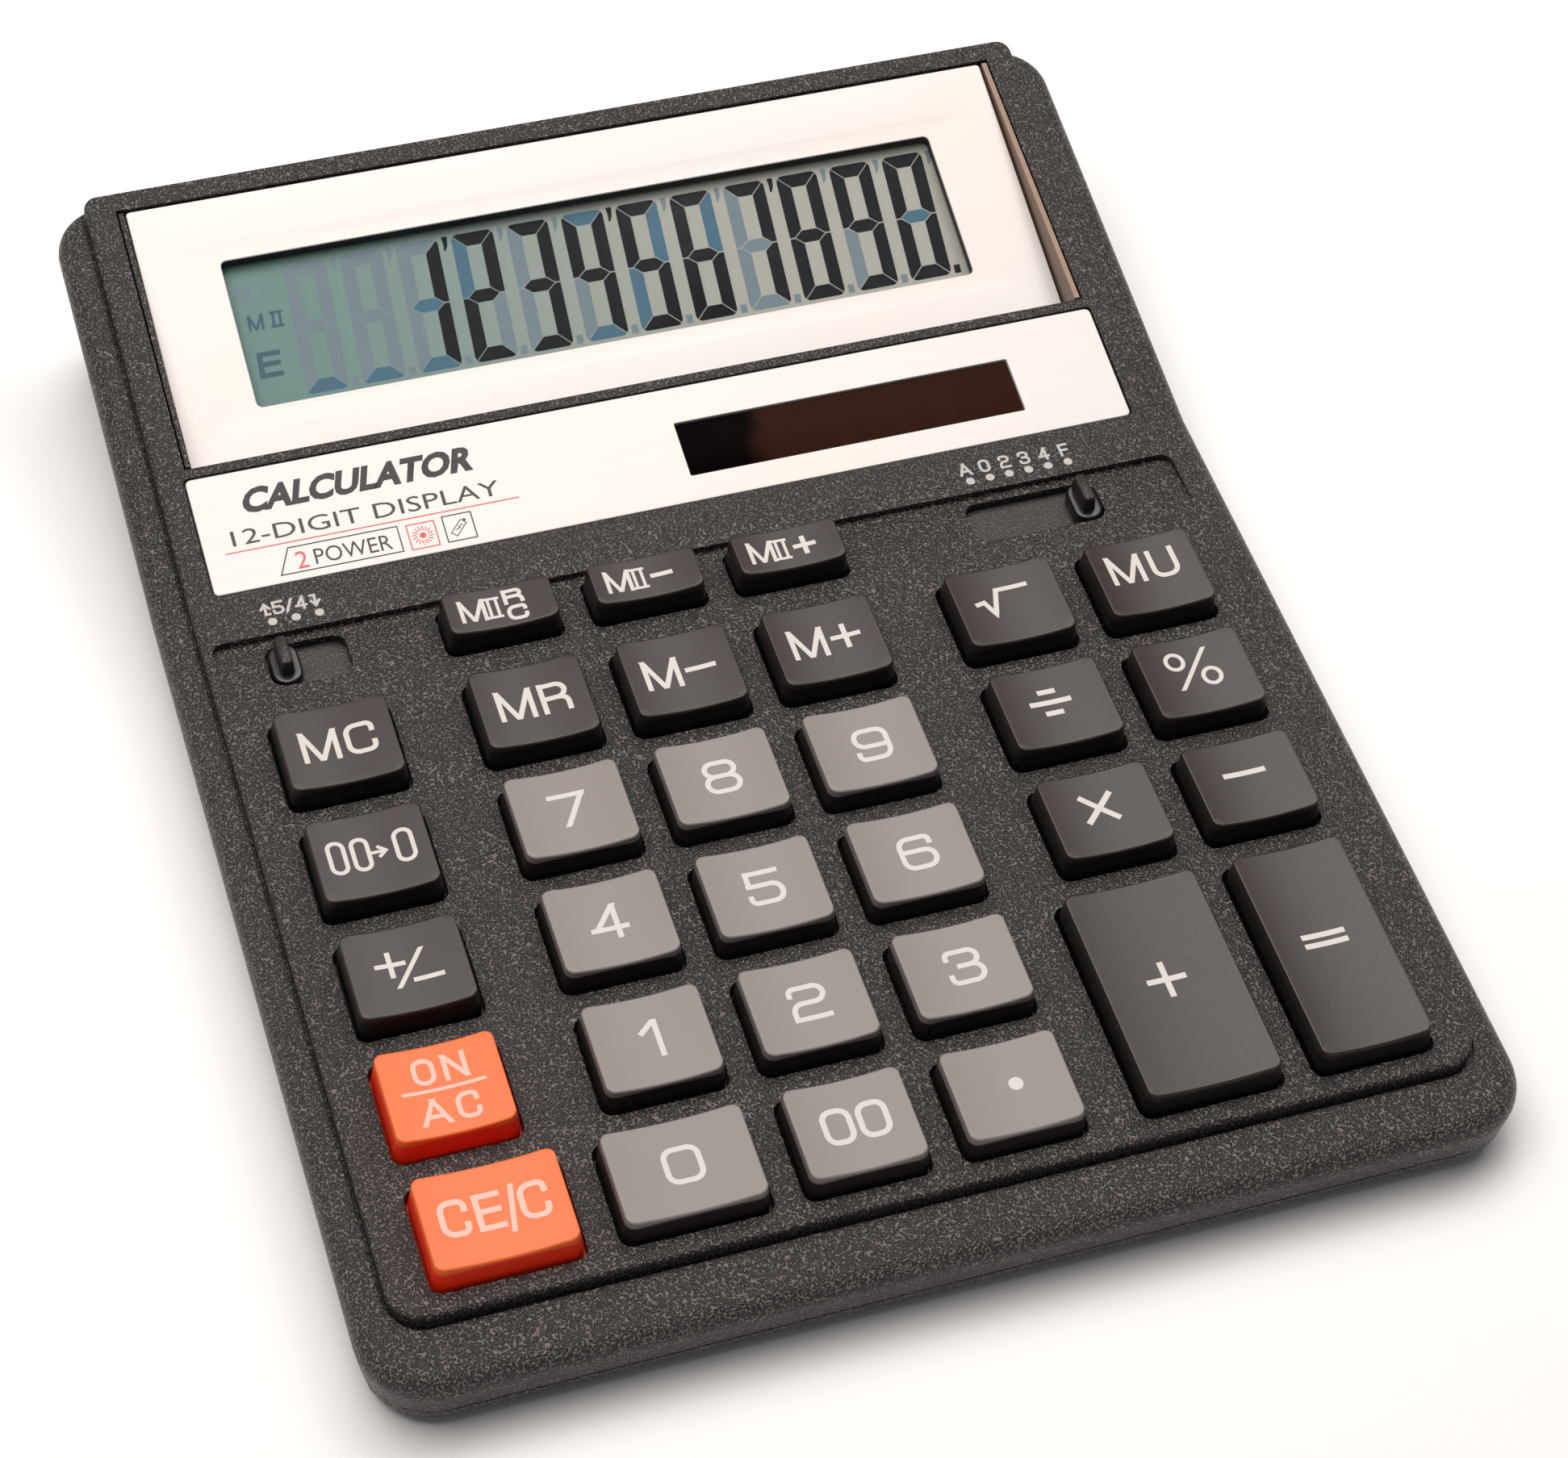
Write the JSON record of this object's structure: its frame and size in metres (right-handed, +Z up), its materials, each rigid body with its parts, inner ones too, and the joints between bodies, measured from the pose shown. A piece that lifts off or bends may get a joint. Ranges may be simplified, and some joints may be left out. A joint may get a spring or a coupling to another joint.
{
  "type": "desk calculator",
  "caption": "Wedge-shaped desk calculator with spring-loaded keys, slide switches, a tilted display in a bright frame, a solar strip and a sliding battery door.",
  "frame": {"origin": "middle of the footprint, on the desk plane under the rubber feet", "axes": "+X to the user's right, +Y from the front edge to the raised rear edge, +Z up"},
  "size_m": [0.159, 0.2026, 0.0292],
  "materials": {
    "case_black": "fine grained, warm dark grey",
    "key_black": "satin, warm black",
    "key_grey": "satin, mid grey",
    "key_orange": "satin, bright orange",
    "knob_black": "gloss black",
    "silver_plastic": "silver paint, finely brushed",
    "silver_strip": "finely brushed, satin",
    "clear": "clear, polished",
    "liquid_crystal": "grey-green, smooth",
    "solar_brown": "dark brown, polished",
    "rubber_grey": "matt grey silicone",
    "rubber_black": "matt black",
    "board_green": "green solder mask",
    "holder_white": "plain moulding",
    "steel": "zinc-plated, satin",
    "brass": "plain",
    "ribbon_brown": "smooth film",
    "lead_red": "smooth insulation"
  },
  "bodies": {
    "case": {"bottom_case": "case_black", "button_cell": "steel", "cell_contact_side": "brass", "cell_contact_top": "brass", "foot_back_left": "rubber_black", "foot_back_right": "rubber_black", "foot_front_left": "rubber_black", "foot_front_right": "rubber_black", "key_mat": "rubber_grey", "lcd_glass": "liquid_crystal", "lcd_holder": "holder_white", "lcd_ribbon": "ribbon_brown", "main_board": "board_green", "screen_lens": "clear", "screen_plate": "silver_plastic", "screw_back_left": "steel", "screw_back_right": "steel", "screw_front_left": "steel", "screw_front_right": "steel", "screw_middle_left": "steel", "screw_middle_right": "steel", "solar_cell": "solar_brown", "solar_lead": "lead_red", "solar_strip": "silver_strip", "top_case": "case_black"},
    "key_0": {"key_0": "key_grey"},
    "key_00": {"key_00": "key_grey"},
    "key_1": {"key_1": "key_grey"},
    "key_2": {"key_2": "key_grey"},
    "key_3": {"key_3": "key_grey"},
    "key_4": {"key_4": "key_grey"},
    "key_5": {"key_5": "key_grey"},
    "key_6": {"key_6": "key_grey"},
    "key_7": {"key_7": "key_grey"},
    "key_8": {"key_8": "key_grey"},
    "key_9": {"key_9": "key_grey"},
    "key_backspace": {"key_backspace": "key_black"},
    "key_clear_entry": {"key_clear_entry": "key_orange"},
    "key_divide": {"key_divide": "key_black"},
    "key_equals": {"key_equals": "key_black"},
    "key_markup": {"key_markup": "key_black"},
    "key_memory2_minus": {"key_memory2_minus": "key_black"},
    "key_memory2_plus": {"key_memory2_plus": "key_black"},
    "key_memory2_recall": {"key_memory2_recall": "key_black"},
    "key_memory_clear": {"key_memory_clear": "key_black"},
    "key_memory_minus": {"key_memory_minus": "key_black"},
    "key_memory_plus": {"key_memory_plus": "key_black"},
    "key_memory_recall": {"key_memory_recall": "key_black"},
    "key_minus": {"key_minus": "key_black"},
    "key_multiply": {"key_multiply": "key_black"},
    "key_on_all_clear": {"key_on_all_clear": "key_orange"},
    "key_percent": {"key_percent": "key_black"},
    "key_plus": {"key_plus": "key_black"},
    "key_point": {"key_point": "key_grey"},
    "key_root": {"key_root": "key_black"},
    "key_sign": {"key_sign": "key_black"},
    "rounding_switch_knob": {"rounding_switch_knob": "knob_black"},
    "decimal_switch_knob": {"decimal_switch_knob": "knob_black"},
    "battery_door": {"battery_door": "case_black"}
  },
  "joints": [
    {"name": "key_0_press", "type": "slide", "parent": "case", "child": "key_0", "axis": [0, 0.0175, -0.9998], "range_m": [0, 0.002], "stiffness_N_per_m": 200, "springref_m": -0.001, "deforming": ["key_mat"]},
    {"name": "key_00_press", "type": "slide", "parent": "case", "child": "key_00", "axis": [0, 0.0175, -0.9998], "range_m": [0, 0.002], "stiffness_N_per_m": 200, "springref_m": -0.001, "deforming": ["key_mat"]},
    {"name": "key_1_press", "type": "slide", "parent": "case", "child": "key_1", "axis": [0, 0.0175, -0.9998], "range_m": [0, 0.002], "stiffness_N_per_m": 200, "springref_m": -0.001, "deforming": ["key_mat"]},
    {"name": "key_2_press", "type": "slide", "parent": "case", "child": "key_2", "axis": [0, 0.0175, -0.9998], "range_m": [0, 0.002], "stiffness_N_per_m": 200, "springref_m": -0.001, "deforming": ["key_mat"]},
    {"name": "key_3_press", "type": "slide", "parent": "case", "child": "key_3", "axis": [0, 0.0175, -0.9998], "range_m": [0, 0.002], "stiffness_N_per_m": 200, "springref_m": -0.001, "deforming": ["key_mat"]},
    {"name": "key_4_press", "type": "slide", "parent": "case", "child": "key_4", "axis": [0, 0.0175, -0.9998], "range_m": [0, 0.002], "stiffness_N_per_m": 200, "springref_m": -0.001, "deforming": ["key_mat"]},
    {"name": "key_5_press", "type": "slide", "parent": "case", "child": "key_5", "axis": [0, 0.0175, -0.9998], "range_m": [0, 0.002], "stiffness_N_per_m": 200, "springref_m": -0.001, "deforming": ["key_mat"]},
    {"name": "key_6_press", "type": "slide", "parent": "case", "child": "key_6", "axis": [0, 0.0175, -0.9998], "range_m": [0, 0.002], "stiffness_N_per_m": 200, "springref_m": -0.001, "deforming": ["key_mat"]},
    {"name": "key_7_press", "type": "slide", "parent": "case", "child": "key_7", "axis": [0, 0.0175, -0.9998], "range_m": [0, 0.002], "stiffness_N_per_m": 200, "springref_m": -0.001, "deforming": ["key_mat"]},
    {"name": "key_8_press", "type": "slide", "parent": "case", "child": "key_8", "axis": [0, 0.0175, -0.9998], "range_m": [0, 0.002], "stiffness_N_per_m": 200, "springref_m": -0.001, "deforming": ["key_mat"]},
    {"name": "key_9_press", "type": "slide", "parent": "case", "child": "key_9", "axis": [0, 0.0175, -0.9998], "range_m": [0, 0.002], "stiffness_N_per_m": 200, "springref_m": -0.001, "deforming": ["key_mat"]},
    {"name": "key_backspace_press", "type": "slide", "parent": "case", "child": "key_backspace", "axis": [0, 0.0175, -0.9998], "range_m": [0, 0.002], "stiffness_N_per_m": 200, "springref_m": -0.001, "deforming": ["key_mat"]},
    {"name": "key_clear_entry_press", "type": "slide", "parent": "case", "child": "key_clear_entry", "axis": [0, 0.0175, -0.9998], "range_m": [0, 0.002], "stiffness_N_per_m": 200, "springref_m": -0.001, "deforming": ["key_mat"]},
    {"name": "key_divide_press", "type": "slide", "parent": "case", "child": "key_divide", "axis": [0, 0.0175, -0.9998], "range_m": [0, 0.002], "stiffness_N_per_m": 200, "springref_m": -0.001, "deforming": ["key_mat"]},
    {"name": "key_equals_press", "type": "slide", "parent": "case", "child": "key_equals", "axis": [0, 0.0175, -0.9998], "range_m": [0, 0.002], "stiffness_N_per_m": 200, "springref_m": -0.001, "deforming": ["key_mat"]},
    {"name": "key_markup_press", "type": "slide", "parent": "case", "child": "key_markup", "axis": [0, 0.0175, -0.9998], "range_m": [0, 0.002], "stiffness_N_per_m": 200, "springref_m": -0.001, "deforming": ["key_mat"]},
    {"name": "key_memory2_minus_press", "type": "slide", "parent": "case", "child": "key_memory2_minus", "axis": [0, 0.0175, -0.9998], "range_m": [0, 0.002], "stiffness_N_per_m": 200, "springref_m": -0.001, "deforming": ["key_mat"]},
    {"name": "key_memory2_plus_press", "type": "slide", "parent": "case", "child": "key_memory2_plus", "axis": [0, 0.0175, -0.9998], "range_m": [0, 0.002], "stiffness_N_per_m": 200, "springref_m": -0.001, "deforming": ["key_mat"]},
    {"name": "key_memory2_recall_press", "type": "slide", "parent": "case", "child": "key_memory2_recall", "axis": [0, 0.0175, -0.9998], "range_m": [0, 0.002], "stiffness_N_per_m": 200, "springref_m": -0.001, "deforming": ["key_mat"]},
    {"name": "key_memory_clear_press", "type": "slide", "parent": "case", "child": "key_memory_clear", "axis": [0, 0.0175, -0.9998], "range_m": [0, 0.002], "stiffness_N_per_m": 200, "springref_m": -0.001, "deforming": ["key_mat"]},
    {"name": "key_memory_minus_press", "type": "slide", "parent": "case", "child": "key_memory_minus", "axis": [0, 0.0175, -0.9998], "range_m": [0, 0.002], "stiffness_N_per_m": 200, "springref_m": -0.001, "deforming": ["key_mat"]},
    {"name": "key_memory_plus_press", "type": "slide", "parent": "case", "child": "key_memory_plus", "axis": [0, 0.0175, -0.9998], "range_m": [0, 0.002], "stiffness_N_per_m": 200, "springref_m": -0.001, "deforming": ["key_mat"]},
    {"name": "key_memory_recall_press", "type": "slide", "parent": "case", "child": "key_memory_recall", "axis": [0, 0.0175, -0.9998], "range_m": [0, 0.002], "stiffness_N_per_m": 200, "springref_m": -0.001, "deforming": ["key_mat"]},
    {"name": "key_minus_press", "type": "slide", "parent": "case", "child": "key_minus", "axis": [0, 0.0175, -0.9998], "range_m": [0, 0.002], "stiffness_N_per_m": 200, "springref_m": -0.001, "deforming": ["key_mat"]},
    {"name": "key_multiply_press", "type": "slide", "parent": "case", "child": "key_multiply", "axis": [0, 0.0175, -0.9998], "range_m": [0, 0.002], "stiffness_N_per_m": 200, "springref_m": -0.001, "deforming": ["key_mat"]},
    {"name": "key_on_all_clear_press", "type": "slide", "parent": "case", "child": "key_on_all_clear", "axis": [0, 0.0175, -0.9998], "range_m": [0, 0.002], "stiffness_N_per_m": 200, "springref_m": -0.001, "deforming": ["key_mat"]},
    {"name": "key_percent_press", "type": "slide", "parent": "case", "child": "key_percent", "axis": [0, 0.0175, -0.9998], "range_m": [0, 0.002], "stiffness_N_per_m": 200, "springref_m": -0.001, "deforming": ["key_mat"]},
    {"name": "key_plus_press", "type": "slide", "parent": "case", "child": "key_plus", "axis": [0, 0.0175, -0.9998], "range_m": [0, 0.002], "stiffness_N_per_m": 200, "springref_m": -0.001, "deforming": ["key_mat"]},
    {"name": "key_point_press", "type": "slide", "parent": "case", "child": "key_point", "axis": [0, 0.0175, -0.9998], "range_m": [0, 0.002], "stiffness_N_per_m": 200, "springref_m": -0.001, "deforming": ["key_mat"]},
    {"name": "key_root_press", "type": "slide", "parent": "case", "child": "key_root", "axis": [0, 0.0175, -0.9998], "range_m": [0, 0.002], "stiffness_N_per_m": 200, "springref_m": -0.001, "deforming": ["key_mat"]},
    {"name": "key_sign_press", "type": "slide", "parent": "case", "child": "key_sign", "axis": [0, 0.0175, -0.9998], "range_m": [0, 0.002], "stiffness_N_per_m": 200, "springref_m": -0.001, "deforming": ["key_mat"]},
    {"name": "rounding_switch_slide", "type": "slide", "parent": "case", "child": "rounding_switch_knob", "axis": [1, 0, 0], "range_m": [0, 0.0068]},
    {"name": "decimal_switch_slide", "type": "slide", "parent": "case", "child": "decimal_switch_knob", "axis": [1, 0, 0], "range_m": [-0.0155, 0]},
    {"name": "battery_door_slide", "type": "slide", "parent": "case", "child": "battery_door", "axis": [0, 1, 0], "range_m": [0, 0.022]}
  ]
}
